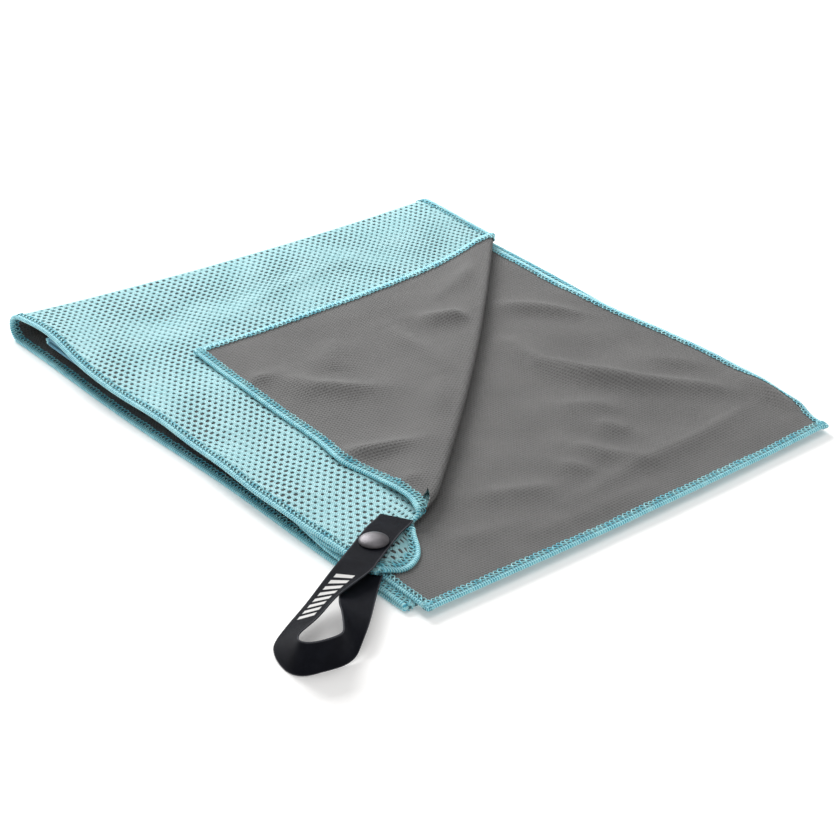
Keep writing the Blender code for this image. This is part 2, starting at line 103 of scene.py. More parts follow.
def crease_heights(x, y, creases):
    """Heights of soft creases, each a line of points with a height and a width in millimetres."""
    total = np.zeros_like(x)
    for points, height, width in creases:
        nearest = np.full_like(x, 1e9)
        along = np.zeros_like(x)
        count = len(points) - 1
        for index, (start, end) in enumerate(zip(points, points[1:])):
            way = np.array(end) * mm - np.array(start) * mm
            from_x = x - start[0] * mm
            from_y = y - start[1] * mm
            share = np.clip((from_x * way[0] + from_y * way[1]) / way.dot(way), 0, 1)
            away = np.hypot(from_x - share * way[0], from_y - share * way[1])
            closer = away < nearest
            nearest = np.where(closer, away, nearest)
            along = np.where(closer, (index + share) / count, along)
        taper = np.sin(np.clip(along, 0.05, 0.95) * math.pi) ** 0.7
        crown = 0.78 * np.exp(-((nearest / (width * mm)) ** 2))
        crown += 0.22 * np.exp(-((nearest / (0.38 * width * mm)) ** 2))
        total += height * mm * taper * crown
    return total


def ripple(x, y, length, seed):
    """Gentle, irregular waves about one unit high."""
    draw = np.random.default_rng(seed)
    total = np.zeros_like(x)
    for _ in range(6):
        angle, phase = draw.uniform(0, 2 * math.pi, 2)
        reach = length / draw.uniform(0.7, 1.6)
        total += np.sin((x * math.cos(angle) + y * math.sin(angle)) * 2 * math.pi / reach + phase)
    return total / 3


def lower_height(x):
    """Middle of the second layer up."""
    return lower_level + lower_slope * (0.157 - x)


def upper_height(x):
    """Middle of the third layer up, which carries the top layer."""
    return upper_level + upper_slope * (0.121 - x)


# soft creases of the open knit: points, height and width, all in millimetres
upper_creases = [
    ([(-24, 78), (-8, 92), (12, 108)], 2.6, 7),
    ([(12, 56), (36, 54), (58, 62), (80, 75), (102, 93), (116, 103)], 3.6, 8),
    ([(128, 112), (133, 70), (135, 20), (140, -20)], 1.6, 7),
    ([(94, 35), (112, 44)], 2.0, 7),
    ([(100, 15), (118, 20), (136, 33)], 2.2, 7),
    ([(70, 32), (84, 46), (96, 52)], 1.6, 8),
    ([(110, -2), (128, 8)], 1.8, 7),
    ([(108, -52), (120, -30), (126, -12)], 2.2, 9),
    ([(62, 92), (92, 112)], 1.4, 9),
    ([(146, -60), (150, -20), (150, 30)], 0.8, 6),
    ([(128, -92), (136, -60), (140, -38)], 1.0, 8),
    ([(106, 117), (130, 115), (149, 112)], 2.6, 5.5),
    ([(133, 32), (129, 72), (124, 94)], -0.45, 3.5),
]
lower_run = first_turn_x - fold_start_x
first_rise = lower_height(first_turn_x) - bottom_z
inner_rise = upper_height(inner_turn_x) - lower_height(inner_turn_x)
lower_marks = np.cumsum([
    lower_run,
    math.pi * first_rise / 2,
    first_turn_x - inner_turn_x,
    math.pi * inner_rise / 2,
    upper_end_x - inner_turn_x,
])
lower_length = lower_marks[-1]


def lower_surface(flat):
    """Where a point of the lower layers lies; flat is its length from the outer fold, and y."""
    s = flat[:, 0]
    y = flat[:, 1]
    shift = fold_shift(y)
    share = (y - front_y) / towel_width
    x = fold_start_x + s + shift * eased(1 - s / draw_in_reach)
    z = np.full_like(x, bottom_z)
    turn = np.clip((s - lower_marks[0]) / (lower_marks[1] - lower_marks[0]), 0, 1) * math.pi
    on_first = s > lower_marks[0]
    x = np.where(on_first, first_turn_x + 1.5 * mm * np.sin(turn), x)
    z = np.where(on_first, bottom_z + first_rise * (1 - np.cos(turn)) / 2, z)
    on_lower = s > lower_marks[1]
    low_x = first_turn_x - (s - lower_marks[1])
    x = np.where(on_lower, low_x, x)
    z = np.where(on_lower, lower_height(low_x), z)
    turn = np.clip((s - lower_marks[2]) / (lower_marks[3] - lower_marks[2]), 0, 1) * math.pi
    on_inner = s > lower_marks[2]
    x = np.where(on_inner, inner_turn_x - 1.8 * mm * np.sin(turn), x)
    z = np.where(on_inner, lower_height(inner_turn_x) + inner_rise * (1 - np.cos(turn)) / 2, z)
    on_upper = s > lower_marks[3]
    up_x = inner_turn_x + (s - lower_marks[3])
    x = np.where(on_upper, up_x, x)
    out = (up_x - bend_start.x) * bend_out.x + (y - bend_start.y) * bend_out.y
    bare = eased(out / (20 * mm) + 0.15)
    rise = 1.55 * crease_heights(up_x, y, upper_creases) + 0.4 * mm * ripple(up_x, y, 60 * mm, 4)
    edge = eased((upper_end_x - up_x) / (9 * mm)) * eased((back_y - y) / (9 * mm))
    z = np.where(on_upper, upper_height(up_x) + rise * bare * (0.35 + 0.65 * edge), z)
    droop = eased((y - back_y + 5 * mm) / (5 * mm)) * eased((up_x - 0.116) / 0.014)
    z = np.where(on_upper, z - 0.9 * mm * droop, z)
    inner_pull = eased(1 - np.abs(x - inner_turn_x) / draw_in_reach) * (s > lower_marks[1])
    x = x + (shift * 0.95 + 9.0 * mm * (1 - share) ** 2) * inner_pull
    slack = eased((x - 0.02) / 0.12)
    x = x + slack * np.where(on_upper, 1.0 - 8.5 * share ** 2, -2.0 - 8.5 * share ** 2) * mm
    hang_back = (-5 + 10 * eased((up_x + 0.03) / 0.12) - 6 * eased((up_x - 0.138) / 0.02)) * mm
    draw_front = 5.0 * mm * eased((up_x - 0.09) / 0.04) * np.exp(-(y - front_y) / (30 * mm))
    y_upper = y + hang_back * eased((y - 0.02) / 0.1) + draw_front
    y = np.where(on_upper, y_upper, y + 0.7 * mm * np.sin(s * 38 + 1.0))
    set_back = 5.0 * mm * np.exp(-(y - front_y) / (25 * mm)) * eased((0.11 - x) / 0.05)
    y = y + set_back * (s > lower_marks[1])
    return np.stack([x, y, z], 1)


def trim(shape, lines, keep_outside=False):
    """Cut a flat shape along lines, and drop whatever lies outside them."""
    for point, off in lines:
        bmesh.ops.bisect_plane(
            shape,
            geom=shape.verts[:] + shape.edges[:] + shape.faces[:],
            dist=1e-7,
            plane_co=(point.x, point.y, 0),
            plane_no=(off.x, off.y, 0),
            clear_outer=not keep_outside,
        )
    return shape


def plain_cut(low, high, cell, lines=()):
    """A plain piece of cloth, as a flat grid cut to its edge lines."""
    shape = bmesh.new()
    across = max(1, round((high[0] - low[0]) / cell))
    up = max(1, round((high[1] - low[1]) / cell))
    bmesh.ops.create_grid(shape, x_segments=across, y_segments=up, size=0.5)
    bmesh.ops.scale(shape, vec=(high[0] - low[0], high[1] - low[1], 1), verts=shape.verts)
    middle = ((high[0] + low[0]) / 2, (high[1] + low[1]) / 2, 0)
    bmesh.ops.translate(shape, vec=middle, verts=shape.verts)
    return trim(shape, lines)


def place_on(surface, flat, height):
    """Points of a surface, raised by a height along its normal."""
    step = 0.15 * mm
    centre = surface(flat)
    right = surface(flat + (step, 0)) - surface(flat - (step, 0))
    up = surface(flat + (0, step)) - surface(flat - (0, step))
    normal = np.cross(right, up)
    normal /= np.maximum(np.linalg.norm(normal, axis=1, keepdims=True), 1e-15)
    return centre + normal * np.asarray(height).reshape(-1, 1)


def lay(name, shape, surface, offset, finish, thickness=0.0):
    """Lay a flat cut along a surface, keep its pattern as UVs in metres, and thicken it."""
    mesh = bpy.data.meshes.new(name)
    for edge in shape.edges:
        edge.smooth = not edge.is_boundary
    shape.to_mesh(mesh)
    shape.free()
    flat = np.empty(len(mesh.vertices) * 3)
    mesh.vertices.foreach_get("co", flat)
    flat = flat.reshape(-1, 3)
    corners = np.empty(len(mesh.loops), np.int32)
    mesh.loops.foreach_get("vertex_index", corners)
    if not mesh.uv_layers:
        layer = mesh.uv_layers.new(name="cut")
        layer.data.foreach_set("uv", flat[corners, :2].ravel())
    placed = place_on(surface, flat[:, :2], flat[:, 2] + offset)
    mesh.vertices.foreach_set("co", placed.ravel())
    mesh.materials.append(finish)
    mesh.shade_smooth()
    mesh.update()
    piece = bpy.data.objects.new(name, mesh)
    bpy.context.collection.objects.link(piece)
    if thickness:
        solid = piece.modifiers.new("ply", "SOLIDIFY")
        solid.thickness = thickness
        solid.offset = 0
    return piece


class Finish:
    """A procedural finish: a shader, and short ways to add and join its nodes."""

    def __init__(self, name, roughness, **shader):
        self.material = bpy.data.materials.new(name)
        self.material.use_nodes = True
        self.tree = self.material.node_tree
        self.shader = self.tree.nodes["Principled BSDF"]
        self.shader.inputs["Roughness"].default_value = roughness
        for socket, value in shader.items():
            self.shader.inputs[socket.replace("_", " ")].default_value = value

    def node(self, kind, settings=None, **sources):
        """Add a node; sources are inputs by number or name, as values or other nodes' outputs."""
        made = self.tree.nodes.new(kind)
        for attribute, value in (settings or {}).items():
            setattr(made, attribute, value)
        for key, value in sources.items():
            socket = made.inputs[int(key[1:]) if key[0] == "i" and key[1:].isdigit() else key]
            if isinstance(value, bpy.types.NodeSocket):
                self.tree.links.new(value, socket)
            else:
                socket.default_value = value
        return made

    def uv(self):
        return self.node("ShaderNodeUVMap", {"uv_map": "cut"}).outputs[0]

    def place(self):
        return self.node("ShaderNodeTexCoord").outputs["Object"]

    def math(self, operation, first, second=0.0):
        return self.node("ShaderNodeMath", {"operation": operation}, i0=first, i1=second).outputs[0]

    def noise(self, where, scale, detail=3.0):
        return self.node("ShaderNodeTexNoise", Vector=where, Scale=scale, Detail=detail).outputs[0]

    def wave(self, where, way):
        """A cosine across the cloth, with its direction and its turns per metre in way."""
        dot = self.node("ShaderNodeVectorMath", {"operation": "DOT_PRODUCT"}, i0=where, i1=(*way, 0.0))
        return self.math("COSINE", self.math("MULTIPLY", dot.outputs["Value"], 2 * math.pi))

    def ramp(self, amount, stops):
        """Colours or greys along a slope; stops are (position, colour)."""
        made = self.node("ShaderNodeValToRGB", Fac=amount)
        band = made.color_ramp
        while len(band.elements) < len(stops):
            band.elements.new(0.5)
        for element, (position, colour) in zip(band.elements, stops):
            element.position = position
            element.color = (*colour, 1.0)
        return made.outputs[0]

    def mix(self, amount, first, second, blend="MIX"):
        settings = {"data_type": "RGBA", "blend_type": blend}
        made = self.node("ShaderNodeMix", settings)
        for socket, value in zip((made.inputs[0], made.inputs[6], made.inputs[7]), (amount, first, second)):
            if isinstance(value, bpy.types.NodeSocket):
                self.tree.links.new(value, socket)
            else:
                socket.default_value = value if isinstance(value, float) else (*value, 1.0)
        return made.outputs[2]

    def colour(self, source):
        self.tree.links.new(source, self.shader.inputs["Base Color"])

    def bump(self, height, distance, strength=1.0):
        made = self.node("ShaderNodeBump", Height=height, Distance=distance, Strength=strength)
        self.tree.links.new(made.outputs[0], self.shader.inputs["Normal"])


# the grey knit: rows of tiny stitches with a faint pique dimple, softly uneven in tone
knit = Finish("grey_knit_jersey", 0.86, Sheen_Weight=0.25, Sheen_Roughness=0.5)
wales = knit.wave(knit.uv(), (2300.0, 0.0))
courses = knit.wave(knit.uv(), (1150.0, 1800.0))
dimples = knit.math("ADD", knit.wave(knit.uv(), (673.0, 0.0)), knit.wave(knit.uv(), (-178.0, 620.0)))
dimples = knit.math("ADD", dimples, knit.wave(knit.uv(), (495.0, 620.0)))
fuzz = knit.noise(knit.uv(), 2600.0, 2.0)
stitches = knit.math("ADD", wales, courses)
tone = knit.math("ADD", knit.math("MULTIPLY", stitches, 0.055), knit.math("MULTIPLY", fuzz, 0.45))
tone = knit.math("ADD", tone, knit.math("MULTIPLY", dimples, -0.045))
tone = knit.math("ADD", tone, knit.math("MULTIPLY", knit.noise(knit.uv(), 38.0), 0.35))
knit.colour(knit.ramp(tone, [
    (0.15, (0.080, 0.079, 0.078)),
    (0.42, (0.135, 0.132, 0.129)),
    (0.75, (0.200, 0.195, 0.190)),
]))
relief = knit.math("ADD", stitches, knit.math("MULTIPLY", dimples, -1.1))
knit.bump(knit.math("ADD", relief, knit.math("MULTIPLY", fuzz, 1.5)), 0.00008)

# the turquoise net where it lies hidden or face down, with its holes drawn by its weave in colour: each hole
# is painted dark teal as painted shade in its depth
net_pale = (0.54, 0.86, 0.90)
net_deep = (0.30, 0.66, 0.71)
hidden_net = Finish("turquoise_net_closed", 0.75, Sheen_Weight=0.2)
holes = hidden_net.wave(hidden_net.uv(), (306.0, 0.0))
holes = hidden_net.math("ADD", holes, hidden_net.wave(hidden_net.uv(), (-81.0, 282.0)))
holes = hidden_net.math("ADD", holes, hidden_net.wave(hidden_net.uv(), (225.0, 282.0)))
hidden_net.colour(hidden_net.ramp(
    hidden_net.math("DIVIDE", holes, 3.0),
    [(0.0, net_pale), (0.42, net_deep), (0.52, (0.04, 0.11, 0.13))],
))
hidden_net.bump(hidden_net.math("MULTIPLY", holes, -1.0), 0.0002)

# extra cuts where the cloth turns at the first fold and at the inner fold
fold_lines = []
for turn, count in ((0, 9), (2, 11)):
    turn_start = lower_marks[turn]
    turn_length = lower_marks[turn + 1] - turn_start
    for step in range(count + 1):
        fold_lines.append((Vector((turn_start + turn_length * step / count, 0)), Vector((1, 0))))
lower_low = (0, front_y + 1 * mm)
lower_high = (lower_length - 1 * mm, back_y - 1 * mm)

lower_net = lay(
    "lower_net_cloth",
    trim(plain_cut(lower_low, lower_high, 4.0 * mm), fold_lines, True),
    lower_surface,
    -ply_lift,
    hidden_net.material,
    0.45 * mm,
)
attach(lower_net, "folded_stack")
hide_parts("bottom_panel_mesh", "first_fold_mesh", "lower_panel_mesh",
            "inner_fold_mesh", "upper_panel_mesh")
lower_knit = lay(
    "lower_knit_cloth",
    trim(plain_cut(lower_low, lower_high, 2.4 * mm), fold_lines, True),
    lower_surface,
    ply_lift,
    knit.material,
    knit_thickness,
)
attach(lower_knit, "folded_stack")
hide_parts("bottom_panel_knit", "first_fold_knit", "lower_panel_knit",
            "inner_fold_knit", "upper_panel_knit")

# ---------------------------------------------------------------- Cloth of the top layer
# The same double cloth, net side up, from the outer fold across to the strap corner. The net is
# knitted open: staggered, slanting oval holes, some 2.4 by 1.8 millimetres, with the knit behind.
strap_corner = Vector((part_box("top_panel_front_edging")[1].x, front_y))
edging_width = 5.5 * mm
flap_tip = Vector((flap_back_box[1].x - edging_width, flap_back_box[0].y))
snap_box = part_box("snap_cap")
snap = Vector(((snap_box[0].x + snap_box[1].x) / 2, (snap_box[0].y + snap_box[1].y) / 2))
top_level = 10.3 * mm
top_slope = 0.016
net_lift = 0.55 * mm
knit_lift = -0.2 * mm
bend_length = (bend_end - bend_start).length
bend_radius = 2.3 * mm
bend_arc = math.pi * bend_radius
fold_arc = math.pi * outer_radius
# creases of the turned-back corner and of the open net, again in millimetres
flap_creases = [
    ([(-4, 64), (-8, 50), (-22, 36), (-32, 30)], 2.8, 7),
    ([(-34, 14), (-4, 12), (22, 6)], 1.5, 6),
    ([(17, -24), (8, -40), (-2, -50), (-22, -56)], 2.8, 8),
    ([(66, -42), (60, -60), (52, -74)], 2.6, 6),
    ([(24, 0), (52, -12), (80, -26)], 1.8, 11),
    ([(-24, -58), (-24, -70)], 1.6, 6),
    ([(90, -60), (92, -76)], 1.4, 6),
    ([(-62, 94), (-48, 70), (-40, 44)], 1.4, 9),
    ([(-40, -12), (-20, -30), (-8, -34)], 1.6, 9),
]
top_creases = [
    ([(-130, -30), (-110, -70), (-60, -98)], -1.4, 15),
    ([(-120, 60), (-105, 0), (-85, -50)], 1.2, 12),
    ([(-40, -96), (0, -112), (40, -100)], -1.0, 12),
    ([(40, -92), (62, -108), (84, -96)], 0.9, 10),
]


def top_height(x):
    """Middle of the top layer: high at the outer fold, low at the strap."""
    return top_level - top_slope * x


def top_surface(flat):
    """Where a point of the top layer lies, from the outer fold over to the turned-back corner."""
    x = flat[:, 0]
    y = flat[:, 1]
    shift = fold_shift(y)
    out = (x - bend_start.x) * bend_out.x + (y - bend_start.y) * bend_out.y
    along = (x - bend_start.x) * bend_along.x + (y - bend_start.y) * bend_along.y
    share = np.clip(along / bend_length, 0, 1)
    bow = 4.2 * mm * np.sin(share * math.pi)
    bow_reach = 45 * mm
    # the flat part, slack between the outer fold and the bend
    near_bend = bow * np.exp(-((np.minimum(out, 0) / bow_reach) ** 2))
    pulled = x + shift * eased(1 - (x - fold_start_x) / draw_in_reach) + bend_out.x * near_bend
    moved = y + bend_out.y * near_bend
    moved = moved + 1.1 * mm * np.sin(x * 42 + 2) * eased((-0.05 - y) / 0.06)
    calm = eased(-out / (14 * mm)) * eased((0.09 - x) / 0.03)
    z = top_height(x)
    z = z + calm * (1.4 * crease_heights(x, y, top_creases) + 0.45 * mm * ripple(x, y, 75 * mm, 7))
    # the end sinks beyond the strap and swells out past it
    beyond = (x - snap.x) * 0.866 + (y - snap.y) * 0.5
    spread = np.where(y > -0.105, 21 * mm, 13 * mm)
    swell = 10.5 * mm * np.exp(-(((y + 0.105) / spread) ** 2)) * np.clip((beyond + 0.04) / 0.047, 0, 1.2) ** 2
    pulled = pulled + swell
    z = z - 2.4 * mm * eased((beyond + swell - 8 * mm) / (8 * mm)) * eased((-0.080 - y) / 0.016)
    # the front edge stands open beside the outer fold
    mouth = np.exp(-(((x + 0.122) / (29 * mm)) ** 2)) * eased((-0.085 - y) / 0.035)
    z = z + 2.4 * mm * mouth
    moved = moved + 2.6 * mm * mouth
    # round the outer fold
    radius = (top_height(fold_start_x) - bottom_z) / 2
    turn = np.clip((fold_start_x - x) / fold_arc, 0, 1) * math.pi
    on_fold = x < fold_start_x
    pulled = np.where(on_fold, fold_start_x + shift - radius * np.sin(turn), pulled)
    z = np.where(on_fold, bottom_z + radius * (1 + np.cos(turn)), z)
    # over the diagonal bend and back on top
    radius = bend_radius * (0.8 + 0.2 * np.sin(share * math.pi))
    turn = np.clip(out / bend_arc, 0, 1) * math.pi
    foot_x = bend_start.x + along * bend_along.x
    foot_y = bend_start.y + along * bend_along.y
    lie = bend_arc - out
    swung = np.where(out > bend_arc, lie, 1.15 * radius * np.sin(turn))
    swung = swung + bow * np.exp(-((np.minimum(lie, 0) / bow_reach) ** 2))
    flap_x = foot_x + bend_out.x * swung
    flap_y = foot_y + bend_out.y * swung
    level = top_height(foot_x) + radius * (1 - np.cos(turn))
    puff = 1.0 * mm * np.exp(-((lie / (14 * mm)) ** 2))
    waves = 1.5 * crease_heights(flap_x, flap_y, flap_creases) + 0.4 * mm * ripple(flap_x, flap_y, 55 * mm, 9)
    far = eased(-lie / (12 * mm))
    resting = top_height(flap_x) + 1.9 * mm
    high = top_height(foot_x) + 2 * radius
    settle = eased(-lie / (30 * mm))
    over = high * (1 - settle) + resting * settle + puff * far
    hold = 0.45 + 0.55 * eased((flap_x + 0.064) / 0.012) * eased((flap_y + 0.074) / 0.01)
    over = over + np.maximum(waves, -0.5 * mm) * far * hold
    flap_z = np.where(out > bend_arc, over, level)
    down = np.clip((back_y - flap_y) / (195 * mm), 0, 1)
    flap_x = flap_x + 5.5 * mm * np.sin(down * math.pi) * np.exp(-(((flap_x + 0.072) / 0.035) ** 2)) * far
    edge_share = np.clip((flap_x + 0.067) / 0.185, 0, 1)
    sag = 2.5 * np.sin(edge_share * math.pi) + 3.5 * np.exp(-(((flap_x - 0.057) / 0.014) ** 2))
    flap_y = flap_y - sag * mm * np.exp(-(((flap_y + 0.078) / 0.03) ** 2)) * far
    over_bend = out > 0
    pulled = np.where(over_bend, flap_x, pulled)
    moved = np.where(over_bend, flap_y, moved)
    z = np.where(over_bend, flap_z, z)
    # the strap draws the foot of the bend in
    drawn = np.exp(-((np.hypot(pulled - bend_end.x, moved - bend_end.y) / (13 * mm)) ** 2))
    return np.stack([pulled - 4.2 * mm * drawn, moved - 5.2 * mm * drawn, z], 1)


def unfolded(point):
    """Where a point of the turned-back flap lay before its corner was turned."""
    way = point - bend_start
    return bend_start + bend_along * way.dot(bend_along) + bend_out * (bend_arc - way.dot(bend_out))


tip_flat = unfolded(flap_tip)
column_step = 3.27 * mm
column_lift = 0.94 * mm
hole_step = 3.55 * mm
hole_long = 1.20 * mm
hole_short = 0.90 * mm
hole_way = Vector((column_step, column_lift - hole_step, 0)).normalized()
hole_side = Vector((-hole_way.y, hole_way.x, 0))


def net_cut(low, high, lines):
    """Open net, flat: a slanting grid with an oval hole through every cell."""
    shape = bmesh.new()
    first = math.floor(low[0] / column_step)
    last = math.ceil(high[0] / column_step)
    tall = high[1] - low[1] + (last - first) * column_lift
    rows = 2 * math.ceil(tall / hole_step / 2) + 2
    bmesh.ops.create_grid(shape, x_segments=last - first, y_segments=rows, size=0.5)
    size = ((last - first) * column_step, rows * hole_step, 1)
    bmesh.ops.scale(shape, vec=size, verts=shape.verts)
    slant = Matrix.Identity(4)
    slant[1][0] = column_lift / column_step
    middle_x = (first + last) / 2 * column_step
    middle_y = round((low[1] + high[1]) / 2 / hole_step) * hole_step
    middle_y += (middle_x * column_lift / column_step) % hole_step
    move = Matrix.Translation((middle_x, middle_y, 0))
    bmesh.ops.transform(shape, matrix=move @ slant, verts=shape.verts)
    margin = 6 * mm
    stray = []
    for face in shape.faces:
        centre = face.calc_center_median()
        inside = low[1] - margin < centre.y < high[1] + margin
        for point, off in lines:
            inside = inside and (centre.x - point.x) * off.x + (centre.y - point.y) * off.y < margin
        if not inside:
            stray.append(face)
    bmesh.ops.delete(shape, geom=stray, context="FACES")
    bmesh.ops.bisect_edges(shape, edges=shape.edges, cuts=1)
    cells = shape.faces[:]
    bmesh.ops.inset_individual(shape, faces=cells, thickness=0.5 * mm, use_even_offset=True)
    for cell in cells:
        centre = cell.calc_center_median()
        size = 1 + 0.18 * math.sin(centre.x * 95 + 2 * math.sin(centre.y * 60)) * math.sin(centre.y * 80 + 1)
        for vert in cell.verts:
            way = (vert.co - centre).normalized()
            reach = hole_way * (way.dot(hole_way) * hole_long * size)
            vert.co = centre + reach + hole_side * (way.dot(hole_side) * hole_short * size)
    bmesh.ops.inset_individual(shape, faces=cells, thickness=0.04 * mm, depth=-0.4 * mm)
    bmesh.ops.delete(shape, geom=cells, context="FACES")
    return trim(shape, lines)


def edge_line(start, end, inset=0.0):
    """An edge of a cut with the cloth on its left: a point on it and the way off the cloth."""
    along = (end - start).normalized()
    off = Vector((along.y, -along.x))
    return start - off * inset, off


inset = 1.0 * mm
front_line = edge_line(Vector((0, front_y)), Vector((1, front_y)), inset)
back_line = edge_line(Vector((1, back_y)), Vector((0, back_y)), inset)
end_line = edge_line(strap_corner, bend_end, inset)
flap_end_line = edge_line(bend_end, tip_flat, inset)
flap_back_line = edge_line(tip_flat, bend_start, inset)
seam_x = fold_start_x + 30 * mm
seam_line = (Vector((seam_x, 0)), Vector((-1, 0)))
bend_margin = 1.8 * mm
bend_foot = bend_start - bend_out * bend_margin
bend_head = bend_start + bend_out * (bend_arc + bend_margin)
bend_line = (bend_foot, bend_out)
top_lines = [front_line, back_line, end_line, seam_line, bend_line]
top_low = (seam_x, front_y)
top_high = (strap_corner.x + 2 * mm, back_y)

# the turquoise net: matt yarn with pale ribs along its columns
net = Finish("turquoise_net", 0.7, Sheen_Weight=0.2)
ribs = net.wave(net.uv(), (306.0, 0.0))
loops = net.wave(net.uv(), (918.0, 845.0))
loops_back = net.wave(net.uv(), (-918.0, 845.0))
yarn = net.math("ADD", loops, loops_back)
cloudy = net.noise(net.uv(), 55.0)
shade = net.math("ADD", net.math("MULTIPLY", ribs, -0.16), net.math("MULTIPLY", yarn, 0.07))
shade = net.math("ADD", shade, net.math("MULTIPLY", cloudy, 0.5))
net.colour(net.ramp(net.math("ADD", shade, 0.22), [(0.15, net_deep), (0.8, net_pale)]))
net.bump(net.math("ADD", yarn, net.math("MULTIPLY", ribs, -1.2)), 0.00010)

top_net = lay("top_net_cloth", net_cut(top_low, top_high, top_lines), top_surface, net_lift, net.material)
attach(top_net, "top_panel")
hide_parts("top_panel_mesh")
top_knit = lay(
    "top_knit_cloth",
    plain_cut(top_low, top_high, 3.0 * mm, top_lines),
    top_surface,
    knit_lift,
    knit.material,
    knit_thickness,
)
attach(top_knit, "top_panel")
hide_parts("top_panel_knit")

# ---------------------------------------------------------------- Outer fold
# The last fold of the towel, a round roll of the same cloth, uncut and unpressed, that joins the
# stack to the top layer.
fold_low = (fold_start_x - fold_arc, front_y)
fold_high = (seam_x, back_y)
fold_cuts = [
    front_line,
    back_line,
    (Vector((seam_x, 0)), Vector((1, 0))),
    (Vector((fold_start_x - fold_arc, 0)), Vector((-1, 0))),
]
fold_net = lay(
    "outer_fold_net", net_cut(fold_low, fold_high, fold_cuts), top_surface, net_lift, net.material
)
fold_knit = lay(
    "outer_fold_knit_cloth",
    plain_cut(fold_low, fold_high, 1.5 * mm, fold_cuts),
    top_surface,
    knit_lift,
    knit.material,
    knit_thickness,
)
for piece, node, finish in (
    (fold_net, "outer_fold_mesh", "turquoise_mesh"),
    (fold_knit, "outer_fold_knit", "grey_knit"),
):
    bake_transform(piece)
    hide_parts(node)

# ---------------------------------------------------------------- Diagonal bend
# Where the free corner turns back over the towel, the double cloth rolls over a soft bend. It runs
# from the back edge to the foot of the strap, and is only laid over, not pressed or sewn.
bend_cuts = [
    end_line,
    flap_end_line,
    flap_back_line,
    back_line,
    (bend_foot, -bend_out),
    (bend_head, bend_out),
]
bend_low = (bend_start.x - 10 * mm, bend_end.y - 10 * mm)
bend_high = (bend_end.x + 20 * mm, back_y)
bend_net = lay(
    "flap_bend_net", net_cut(bend_low, bend_high, bend_cuts), top_surface, net_lift, net.material
)
bend_knit = lay(
    "flap_bend_knit_cloth",
    plain_cut(bend_low, bend_high, 1.5 * mm, bend_cuts),
    top_surface,
    knit_lift,
    knit.material,
    knit_thickness,
)
for piece, node, finish in (
    (bend_net, "flap_bend_mesh", "turquoise_mesh"),
    (bend_knit, "flap_bend_knit", "grey_knit"),
):
    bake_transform(piece)
    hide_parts(node)

# ---------------------------------------------------------------- Corner flap
# The turned-back corner of the top layer, a triangle of the double cloth. It lies knit side up on
# the net, held by nothing but its weight, and creased where it was pulled over.
flap_cuts = [flap_end_line, flap_back_line, (bend_head, -bend_out)]
flap_low = (bend_start.x, bend_end.y)
flap_high = (max(tip_flat.x, bend_end.x) + 10 * mm, back_y)
flap_net = lay(
    "corner_flap_net", net_cut(flap_low, flap_high, flap_cuts), top_surface, net_lift, net.material
)
flap_knit = lay(
    "corner_flap_knit_cloth",
    plain_cut(flap_low, flap_high, 2.2 * mm, flap_cuts),
    top_surface,
    knit_lift,
    knit.material,
    knit_thickness,
)
for piece, node, finish in (
    (flap_net, "corner_flap_mesh", "turquoise_mesh"),
    (flap_knit, "corner_flap_knit", "grey_knit"),
):
    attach(piece, "corner_flap")
    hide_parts(node)

# ---------------------------------------------------------------- Overlocked edges
# All four sides of the double cloth are overlocked in cyan thread: a dense ribbed roll round the
# raw edge, and slanting threads that end in a row of arches on each face.
stitch_pitch = 2.55 * mm
thread_radius = 0.27 * mm
rib_swell = 1.45
rib_lift = 0.24 * mm
roll_depth = 1.95
# a row number that marks the flat strip under the arches, which is painted dark teal as painted shade under
# the threads
painted_shade_row = -9.0
# the roll's section, as depth from the edge and height, in millimetres
roll_profile = ((3.9, -0.60), (1.9, -0.62), (1.1, -0.78), (0.3, -0.58), (0.0, 0.0),
                (0.3, 0.58), (1.1, 0.78), (1.9, 0.62), (3.9, 0.60))
# the threads' courses, as share of a stitch, depth and height
arch_path = ((0.05, 1.5, 0.62), (0.07, 3.2, 0.90), (0.22, 4.2, 0.96), (0.5, 4.6, 0.96),
             (0.78, 4.2, 0.96), (0.93, 3.2, 0.90), (0.95, 1.5, 0.62))
slant_path = ((0.08, 3.0, 1.05), (0.50, 2.3, 1.12), (0.92, 1.3, 0.80))


def thread(shape, path, radius, sides=4):
    """A closed length of thread along a path."""
    rings = []
    for index, point in enumerate(path):
        along = path[min(index + 1, len(path) - 1)] - path[max(index - 1, 0)]
        turn = along.to_track_quat("Z", "Y").to_matrix().to_4x4()
        made = bmesh.ops.create_circle(
            shape,
            cap_ends=index in (0, len(path) - 1),
            radius=radius,
            segments=sides,
            matrix=Matrix.Translation(point) @ turn,
        )
        rings.append(list({edge for vert in made["verts"] for edge in vert.link_edges}))
    for ring, following in zip(rings, rings[1:]):
        bmesh.ops.bridge_loops(shape, edges=ring + following)


